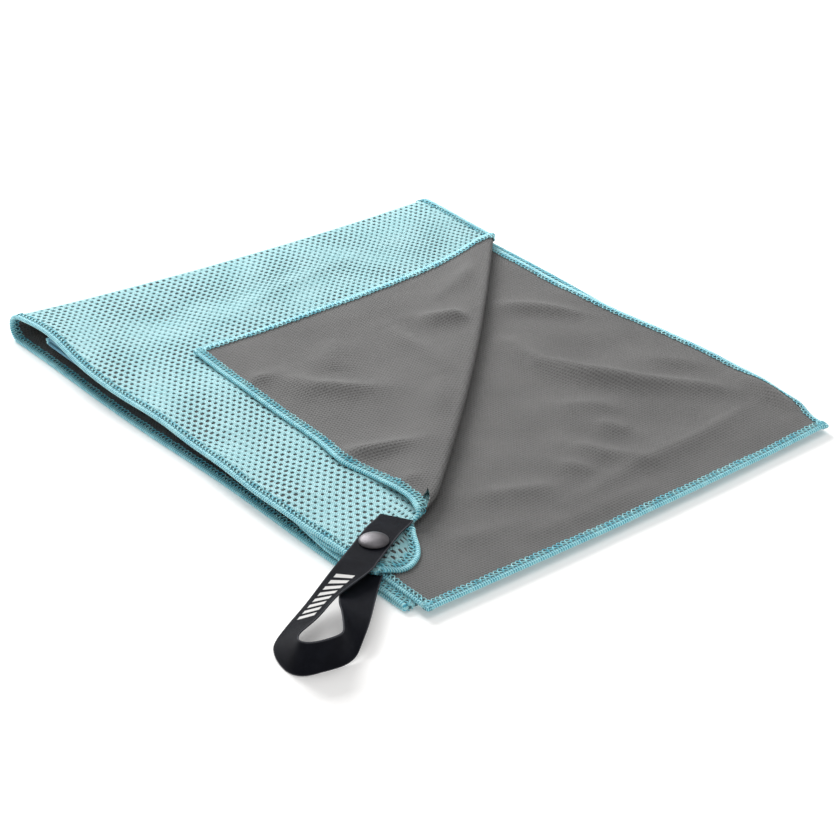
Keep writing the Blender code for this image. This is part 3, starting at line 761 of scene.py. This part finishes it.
def one_stitch(pitch, ribs=2):
    """One overlock stitch, along x from 0 to the pitch, with the edge of the cloth at y = 0."""
    shape = bmesh.new()
    row = [shape.verts.new((0, inward * mm, rise * mm)) for inward, rise in roll_profile]
    edges = [shape.edges.new(pair) for pair in zip(row, row[1:])]
    for step in range(1, ribs * 2 + 1):
        made = bmesh.ops.extrude_edge_only(shape, edges=edges)["geom"]
        edges = [item for item in made if isinstance(item, bmesh.types.BMEdge)]
        verts = [item for item in made if isinstance(item, bmesh.types.BMVert)]
        swell = rib_swell if step % 2 else 1 / rib_swell
        lift = -rib_lift if step % 2 else rib_lift
        rolled = [vert for vert in verts if vert.co.y < 1.5 * mm]
        bmesh.ops.translate(shape, vec=(pitch / (ribs * 2), 0, 0), verts=verts)
        bmesh.ops.scale(shape, vec=(1, 1, swell), verts=rolled)
        bmesh.ops.translate(shape, vec=(0, lift, 0), verts=rolled)
    for side in (1, -1):
        for path in (arch_path, slant_path):
            course = [Vector((a * pitch, depth * mm, side * h * mm)) for a, depth, h in path]
            thread(shape, course, thread_radius)
    return shape


def hem(name, surface, start, end, seed, span=(0.0, 1.0)):
    """A run of overlock stitches along a straight edge of the cut, with the cloth on its left."""
    run = end - start
    count = round(run.length / stitch_pitch)
    pitch = run.length / count
    first = round(span[0] * count)
    last = round(span[1] * count)
    shape = one_stitch(pitch)
    bmesh.ops.translate(shape, vec=(first * pitch, 0, 0), verts=shape.verts)
    source = shape.verts[:] + shape.edges[:] + shape.faces[:]
    for step in range(1, last - first):
        made = bmesh.ops.duplicate(shape, geom=source)["geom"]
        verts = [item for item in made if isinstance(item, bmesh.types.BMVert)]
        bmesh.ops.translate(shape, vec=(step * pitch, 0, 0), verts=verts)
    bmesh.ops.remove_doubles(shape, verts=shape.verts, dist=0.01 * mm)
    bmesh.ops.recalc_face_normals(shape, faces=shape.faces)
    draw = np.random.default_rng(seed)
    reach = draw.uniform(0.93, 1.05, count + 2)
    lean = draw.uniform(-0.12, 0.12, count + 2) * pitch
    for vert in shape.verts:
        inner = min(1.0, max(0.0, (vert.co.y / mm - 2.0) / 2.0))
        number = min(count, int(vert.co.x / pitch + 1e-4))
        vert.co.x += lean[number] * inner
        vert.co.y *= 1 + (reach[number] - 1) * inner
    layer = shape.loops.layers.uv.new("cut")
    for face in shape.faces:
        centre = face.calc_center_median()
        # faces of the flat strip beneath the arches get the marker row, where the thread colour is painted
        # shade
        under = centre.y > roll_depth * mm and abs(centre.z) < 0.64 * mm
        for corner in face.loops:
            row = painted_shade_row if under else corner.vert.co.y / mm
            corner[layer].uv = (corner.vert.co.x / pitch, row)
    angle = math.atan2(run.y, run.x)
    turn = Matrix.Translation((start.x, start.y, 0)) @ Matrix.Rotation(angle, 4, "Z")
    bmesh.ops.transform(shape, matrix=turn, verts=shape.verts)
    return lay(name, shape, surface, 0.0, thread_finish.material)


thread_finish = Finish("cyan_overlock_thread", 0.5, Sheen_Weight=0.35, Specular_IOR_Level=0.45)
stitch_place = thread_finish.node("ShaderNodeSeparateXYZ", i0=thread_finish.uv())
on_roll = thread_finish.math("LESS_THAN", stitch_place.outputs[1], roll_depth)
painted_shade_under_arches = thread_finish.math("LESS_THAN", stitch_place.outputs[1], painted_shade_row / 2)
# the roll is painted darker in the grooves between its ribs: painted shade
rib_groove_painted_shade = thread_finish.math("MULTIPLY", thread_finish.wave(thread_finish.uv(), (2.0, 0.0)), on_roll)
twist = thread_finish.wave(thread_finish.uv(), (5.0, 3.0))
patches = thread_finish.noise(thread_finish.place(), 260.0)
mood = thread_finish.math("ADD", thread_finish.math("MULTIPLY", rib_groove_painted_shade, -0.34), patches)
mood = thread_finish.math("ADD", mood, thread_finish.math("MULTIPLY", twist, 0.05))
thread_shade = thread_finish.ramp(mood, [
    (0.20, (0.04, 0.42, 0.58)),
    (0.40, (0.21, 0.78, 0.93)),
    (0.60, (0.48, 0.94, 0.99)),
])
# the front edges folded away inside the stack are painted a deeper blue, up to near the strap: painted shade
# under the overhang of the top layer
hem_place = thread_finish.node("ShaderNodeSeparateXYZ", i0=thread_finish.place()).outputs
below_top = thread_finish.math("MULTIPLY", hem_place[0], top_slope)
below_top = thread_finish.math("ADD", hem_place[2], below_top)
inner_hem_painted_shade = thread_finish.math("LESS_THAN", below_top, 8.9 * mm)
for test, value, limit in (
    ("GREATER_THAN", hem_place[2], 2.35 * mm),
    ("GREATER_THAN", hem_place[0], -125 * mm),
    ("LESS_THAN", hem_place[1], -115.5 * mm),
):
    inner_hem_painted_shade = thread_finish.math("MULTIPLY", inner_hem_painted_shade, thread_finish.math(test, value, limit))
fade = thread_finish.math("SUBTRACT", 1.2, thread_finish.math("MULTIPLY", hem_place[0], 12.0))
fade = thread_finish.node("ShaderNodeClamp", Value=fade).outputs[0]
inner_hem_painted_shade = thread_finish.math("MULTIPLY", thread_finish.math("MULTIPLY", inner_hem_painted_shade, fade), 0.75)
thread_shade = thread_finish.mix(inner_hem_painted_shade, thread_shade, (0.01, 0.20, 0.36))
# the strip beneath the arches is painted dark teal: painted shade under the threads
thread_finish.colour(thread_finish.mix(painted_shade_under_arches, thread_shade, (0.012, 0.10, 0.12)))
thread_finish.bump(twist, 0.00006)

stack_front = Vector((0, front_y)), Vector((lower_length, front_y))
stack_end = Vector((lower_length, front_y)), Vector((lower_length, back_y))
stack_back = Vector((lower_length, back_y)), Vector((0, back_y))
panel_front = Vector((seam_x, front_y)), strap_corner
panel_end = strap_corner, bend_end
flap_end = bend_end, tip_flat
flap_back = tip_flat, bend_start
panel_back = bend_start, Vector((seam_x, back_y))
fold_front = Vector((fold_start_x - fold_arc, front_y)), Vector((seam_x, front_y))
fold_back = Vector((seam_x, back_y)), Vector((fold_start_x - fold_arc, back_y))
end_share = (bend_arc + bend_margin) / (tip_flat - bend_end).dot(bend_out)
back_share = (bend_arc + bend_margin) / (tip_flat - bend_start).dot(bend_out)

front_hem = hem("stack_front_hem", lower_surface, *stack_front, 11)
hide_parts("bottom_panel_front_edging", "first_fold_front_edging", "lower_panel_front_edging",
            "inner_fold_front_edging", "upper_panel_front_edging")
end_hem = hem("stack_end_hem", lower_surface, *stack_end, 12)
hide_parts("upper_panel_end_edging")
back_hem = hem("stack_back_hem", lower_surface, *stack_back, 13)
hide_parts("bottom_panel_back_edging", "first_fold_back_edging", "lower_panel_back_edging",
            "inner_fold_back_edging", "upper_panel_back_edging")
top_front_hem = hem("top_front_hem", top_surface, *panel_front, 14)
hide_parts("top_panel_front_edging")
top_end_hem = hem("top_end_hem", top_surface, *panel_end, 15)
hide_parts("top_panel_end_edging")
top_back_hem = hem("top_back_hem", top_surface, *panel_back, 16)
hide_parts("top_panel_back_edging")
flap_end_hem = hem("corner_flap_end_hem", top_surface, *flap_end, 17, (end_share, 1.0))
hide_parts("corner_flap_end_edging")
flap_back_hem = hem("corner_flap_back_hem", top_surface, *flap_back, 18, (0.0, 1 - back_share))
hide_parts("corner_flap_back_edging")
for piece in (front_hem, end_hem, back_hem):
    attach(piece, "folded_stack")
for piece in (top_front_hem, top_end_hem, top_back_hem):
    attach(piece, "top_panel")
for piece in (flap_end_hem, flap_back_hem):
    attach(piece, "corner_flap")
bend_end_hem = hem("flap_bend_end_hem", top_surface, *flap_end, 17, (0.0, end_share))
bend_back_hem = hem("flap_bend_back_hem", top_surface, *flap_back, 18, (1 - back_share, 1.0))
for piece in (bend_end_hem, bend_back_hem):
    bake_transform(piece)
fold_front_hem = hem("outer_fold_front_hem", top_surface, *fold_front, 19)
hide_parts("outer_fold_front_edging")
fold_back_hem = hem("outer_fold_back_hem", top_surface, *fold_back, 20)
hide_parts("outer_fold_back_edging")
for piece in (fold_front_hem, fold_back_hem):
    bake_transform(piece)
# each piece of the turned-back corner gets a mesh of its own
for piece, rise, keep in (
    (flap_net, -3.5, 0.3),
    (flap_knit, -2.9, 0.3),
    (flap_end_hem, -7.5, 0.6),
    (flap_back_hem, -7.5, 0.6),
):
    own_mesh(piece)

# ---------------------------------------------------------------- Strap
# One length of dark satin tape, fifteen millimetres wide. Its sewn leg lies under the strap
# corner, its loop stands on its edge, and its free end lies on top, held by the snap.
tape_width = 15 * mm
tape_thickness = 0.6 * mm
tape_cell = 1.2 * mm
tab_angle = math.radians(-60)
leg_angle = math.radians(-50)
side_reach = 20 * mm
# places along the flat free end and the flat leg, in millimetres from the snap
tab_stops = range(-25, 20, 5)
leg_stops = (20, 10, 0, -6, -12)
steps_between = 6
tab_z = (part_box("strap_tab")[0].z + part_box("strap_tab")[1].z) / 2
leg_z = (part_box("strap_leg")[0].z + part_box("strap_leg")[1].z) / 2
# the loop's two edges in millimetres: the one that comes to stand on the floor, and the other
loop_edges = (
    ((132.5, -151.8, 6.0), (144.0, -145.8, 12.0)),
    ((139.2, -167.7, 3.5), (150.4, -160.6, 10.5)),
    ((143.0, -176.7, 1.2), (154.8, -171.8, 10.5)),
    ((147.5, -181.0, 0.4), (158.6, -175.6, 11.6)),
    ((156.0, -183.4, 0.4), (161.8, -178.4, 13.2)),
    ((163.4, -183.6, 0.4), (165.0, -179.6, 14.4)),
    ((168.0, -180.4, 0.4), (168.4, -177.8, 15.0)),
    ((170.2, -173.5, 0.4), (170.8, -172.4, 15.3)),
    ((171.7, -164.6, 0.5), (171.2, -164.6, 15.2)),
    ((171.2, -158.8, 2.2), (167.4, -160.6, 15.0)),
    ((167.6, -153.0, 5.6), (158.8, -154.4, 13.8)),
    ((161.0, -144.5, 7.8), (150.3, -149.0, 12.0)),
    ((151.0, -133.2, 7.8), (139.8, -141.6, 9.2)),
)


def tape_piece(angle, reach, height, facing=1):
    """The two edges of the tape where it lies flat, at a distance from the snap."""
    middle = snap + Vector((math.cos(angle), math.sin(angle))) * reach
    half = Vector((-math.sin(angle), math.cos(angle))) * facing * tape_width / 2
    return (middle.x - half.x, middle.y - half.y, height), (middle.x + half.x, middle.y + half.y, height)


def droop(reach):
    """How far the free end hangs down towards the net."""
    return 2.0 * mm * float(eased((-reach - 8 * mm) / (17 * mm)))


def smooth_through(points, steps):
    """A smooth run through points, with a number of steps between each pair."""
    points = np.array(points)
    before = np.vstack([2 * points[:1] - points[1:2], points[:-1]])
    after = np.vstack([points[1:], 2 * points[-1:] - points[-2:-1]])
    ways = (after - before) / 2
    run = []
    for index in range(len(points) - 1):
        for step in range(steps):
            t = step / steps
            run.append(
                points[index] * (2 * t**3 - 3 * t**2 + 1)
                + points[index + 1] * (3 * t**2 - 2 * t**3)
                + ways[index] * (t**3 - 2 * t**2 + t)
                + ways[index + 1] * (t**3 - t**2)
            )
    run.append(points[-1])
    return np.array(run)


tape_edges = [tape_piece(tab_angle, reach * mm, tab_z - droop(reach * mm)) for reach in tab_stops]
tape_edges.append(tape_piece(tab_angle, side_reach, tab_z))
tab_stations = len(tape_edges)
tape_edges += [[[value * mm for value in point] for point in pair] for pair in loop_edges]
tape_edges += [tape_piece(leg_angle, reach * mm, leg_z, -1) for reach in leg_stops]
tape_low = smooth_through([low for low, high in tape_edges], steps_between)
tape_high = smooth_through([high for low, high in tape_edges], steps_between)
tape_middle = (tape_low + tape_high) / 2
tape_across = tape_high - tape_low
tape_across /= np.linalg.norm(tape_across, axis=1, keepdims=True)
steps = np.linalg.norm(np.diff(tape_middle, axis=0), axis=1)
tape_marks = np.concatenate([[0.0], np.cumsum(steps)])
tape_length = tape_marks[-1]
tape_turn = tape_marks[(tab_stations + 7) * steps_between]


def tape_surface(flat):
    """Where a point of the tape lies; flat is its length from the free end, and across."""
    middle = np.stack([np.interp(flat[:, 0], tape_marks, tape_middle[:, axis]) for axis in range(3)], 1)
    across = np.stack([np.interp(flat[:, 0], tape_marks, tape_across[:, axis]) for axis in range(3)], 1)
    across /= np.linalg.norm(across, axis=1, keepdims=True)
    return middle + across * flat[:, 1:2]


print_start = 52 * mm
print_end = 84 * mm
bar_pitch = 4 * mm
bar_share = 0.55
print_reach = 4.2 * mm
satins = []
for face in ("outer", "inner"):
    satin = Finish("dark_satin_tape_" + face, 0.65, Specular_IOR_Level=0.06)
    tape_ribs = satin.wave(satin.uv(), (2200.0, 0.0))
    grain = satin.wave(satin.uv(), (700.0, 2400.0))
    split = satin.node("ShaderNodeSeparateXYZ", i0=satin.uv())
    side = satin.math("ABSOLUTE", split.outputs[1])
    weave = satin.math("MULTIPLY", satin.math("ADD", tape_ribs, grain), 0.12)
    weave = satin.math("ADD", weave, satin.noise(satin.uv(), 150.0))
    shade = satin.ramp(weave, [(0.2, (0.003, 0.0035, 0.006)), (0.8, (0.008, 0.009, 0.014))])
    selvedge = satin.math("GREATER_THAN", side, tape_width / 2 - 0.5 * mm)
    shade = satin.mix(selvedge, shade, (0.05, 0.052, 0.06))
    if face == "outer":
        along_print = satin.math("SUBTRACT", split.outputs[0], print_start)
        bars = satin.math("FRACT", satin.math("MULTIPLY", along_print, 1 / bar_pitch))
        mark = satin.math("LESS_THAN", bars, bar_share)
        mark = satin.math("MULTIPLY", mark, satin.math("GREATER_THAN", along_print, 0.0))
        mark = satin.math("MULTIPLY", mark, satin.math("LESS_THAN", split.outputs[0], print_end))
        mark = satin.math("MULTIPLY", mark, satin.math("LESS_THAN", side, print_reach))
        shade = satin.mix(mark, shade, (0.72, 0.71, 0.70))
    satin.colour(shade)
    satin.bump(satin.math("ADD", tape_ribs, grain), 0.00004)
    satins.append(satin.material)

upper_tape = lay(
    "strap_upper_run",
    plain_cut((0, -tape_width / 2), (tape_turn, tape_width / 2), tape_cell),
    tape_surface,
    0.0,
    satins[0],
    tape_thickness,
)
lower_tape = lay(
    "strap_lower_run",
    plain_cut((tape_turn, -tape_width / 2), (tape_length, tape_width / 2), tape_cell),
    tape_surface,
    0.0,
    satins[0],
    tape_thickness,
)
for piece in (upper_tape, lower_tape):
    piece.data.materials.append(satins[1])
    piece.modifiers["ply"].material_offset = 1
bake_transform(upper_tape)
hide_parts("strap_tab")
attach(lower_tape, "top_panel")
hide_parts("strap_loop", "strap_leg")

# ---------------------------------------------------------------- Snap
# A pressed gunmetal cap, domed with a rolled rim, riveted through the free end of the strap. The
# socket, its spring ring, the stud and its back are the metal parts below it.
cap_radius = (snap_box[1].x - snap_box[0].x) / 2
cap_low = tab_z + tape_thickness / 2
# the dome's section, as radius and height, in millimetres
cap_rim = 6.5
cap_profile = ((0.0, 2.45), (2.2, 2.38), (4.0, 2.12), (5.3, 1.68), (6.05, 1.22), (6.45, 0.78),
               (6.5, 0.45), (6.3, 0.16), (5.9, 0.02), (0.0, 0.02))
gunmetal = Finish("gunmetal_enamel", 0.46, Metallic=0.8)
smudge = gunmetal.noise(gunmetal.place(), 320.0, 5.0)
speck = gunmetal.noise(gunmetal.place(), 2600.0, 2.0)
gunmetal.colour(gunmetal.ramp(
    gunmetal.math("ADD", gunmetal.math("MULTIPLY", smudge, 0.7), gunmetal.math("MULTIPLY", speck, 0.3)),
    [(0.3, (0.080, 0.076, 0.082)), (0.7, (0.125, 0.118, 0.127))],
))
gunmetal.bump(speck, 0.00001)
spring_metal = Finish("spring_steel_wire", 0.28, Metallic=1.0)
spring_metal.colour(spring_metal.ramp(
    spring_metal.noise(spring_metal.place(), 900.0), [(0.3, (0.42, 0.42, 0.43)), (0.7, (0.62, 0.62, 0.63))]
))

cap_shape = bmesh.new()
cap_points = [(snap.x + out * cap_radius / cap_rim, snap.y, cap_low + up * mm) for out, up in cap_profile]
cap_verts = [cap_shape.verts.new(point) for point in cap_points]
cap_edges = [cap_shape.edges.new(pair) for pair in zip(cap_verts, cap_verts[1:])]
bmesh.ops.spin(
    cap_shape,
    geom=cap_verts + cap_edges,
    cent=(snap.x, snap.y, 0),
    axis=(0, 0, 1),
    angle=2 * math.pi,
    steps=72,
    use_merge=True,
)
bmesh.ops.remove_doubles(cap_shape, verts=cap_shape.verts, dist=0.01 * mm)
bmesh.ops.recalc_face_normals(cap_shape, faces=cap_shape.faces)
cap_mesh = bpy.data.meshes.new("snap_cap_dome")
cap_shape.to_mesh(cap_mesh)
cap_shape.free()
cap_mesh.materials.append(gunmetal.material)
cap_mesh.shade_smooth()
cap = bpy.data.objects.new("snap_cap_dome", cap_mesh)
bpy.context.collection.objects.link(cap)
soften = cap.modifiers.new("soften", "SUBSURF")
soften.levels = 1
soften.render_levels = 1
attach(cap, "strap_tab")
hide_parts("snap_cap")
for node in ("snap_socket", "snap_stud", "snap_stud_back"):
    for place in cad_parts[node].material_slots:
        place.material = gunmetal.material
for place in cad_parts["snap_spring"].material_slots:
    place.material = spring_metal.material

# ---------------------------------------------------------------- Floor, light and camera
# The towel lies on a plain pale floor, under one large soft lamp at its back left and a weaker one
# overhead. The camera stands well off its strap corner, with a long lens.
floor_finish = Finish("pale_floor", 0.9, Emission_Color=(1.0, 0.99, 0.98, 1.0), Emission_Strength=0.2)
floor_finish.colour(floor_finish.ramp(
    floor_finish.noise(floor_finish.place(), 3.0), [(0.0, (0.90, 0.895, 0.885)), (1.0, (0.93, 0.925, 0.92))]
))
floor_shape = bmesh.new()
bmesh.ops.create_grid(floor_shape, x_segments=2, y_segments=2, size=6.0)
floor_mesh = bpy.data.meshes.new("floor")
floor_shape.to_mesh(floor_mesh)
floor_shape.free()
floor_mesh.materials.append(floor_finish.material)
floor = bpy.data.objects.new("floor", floor_mesh)
bpy.context.collection.objects.link(floor)

world = bpy.data.worlds.new("studio")
bpy.context.scene.world = world
world.use_nodes = True
sky = world.node_tree.nodes["Background"]
sky.inputs["Color"].default_value = (1.0, 1.0, 1.0, 1.0)
sky.inputs["Strength"].default_value = 0.48
for name, place, size, power in (
    ("back_left_window", (-1.22, 0.27, 0.84), 0.85, 30.0),
    ("overhead", (0.1, 0.1, 1.6), 1.0, 6.0),
):
    lamp = bpy.data.lights.new(name, "AREA")
    lamp.size = size
    lamp.energy = power
    light = bpy.data.objects.new(name, lamp)
    light.location = place
    light.rotation_euler = (-Vector(place)).to_track_quat("-Z", "Y").to_euler()
    bpy.context.collection.objects.link(light)

bpy.context.scene.view_settings.view_transform = "Standard"
camera_place = (0.85281, -0.66425, 0.57085)
camera_way = Vector((-0.68869, 0.54390, -0.47946))
camera_data = bpy.data.cameras.new("camera")
camera_data.lens = 111.43
camera_data.sensor_width = 36.0
camera_data.clip_start = 0.05
camera = bpy.data.objects.new("camera", camera_data)
camera.location = camera_place
camera.rotation_euler = camera_way.to_track_quat("-Z", "Y").to_euler()
bpy.context.collection.objects.link(camera)
bpy.context.scene.camera = camera
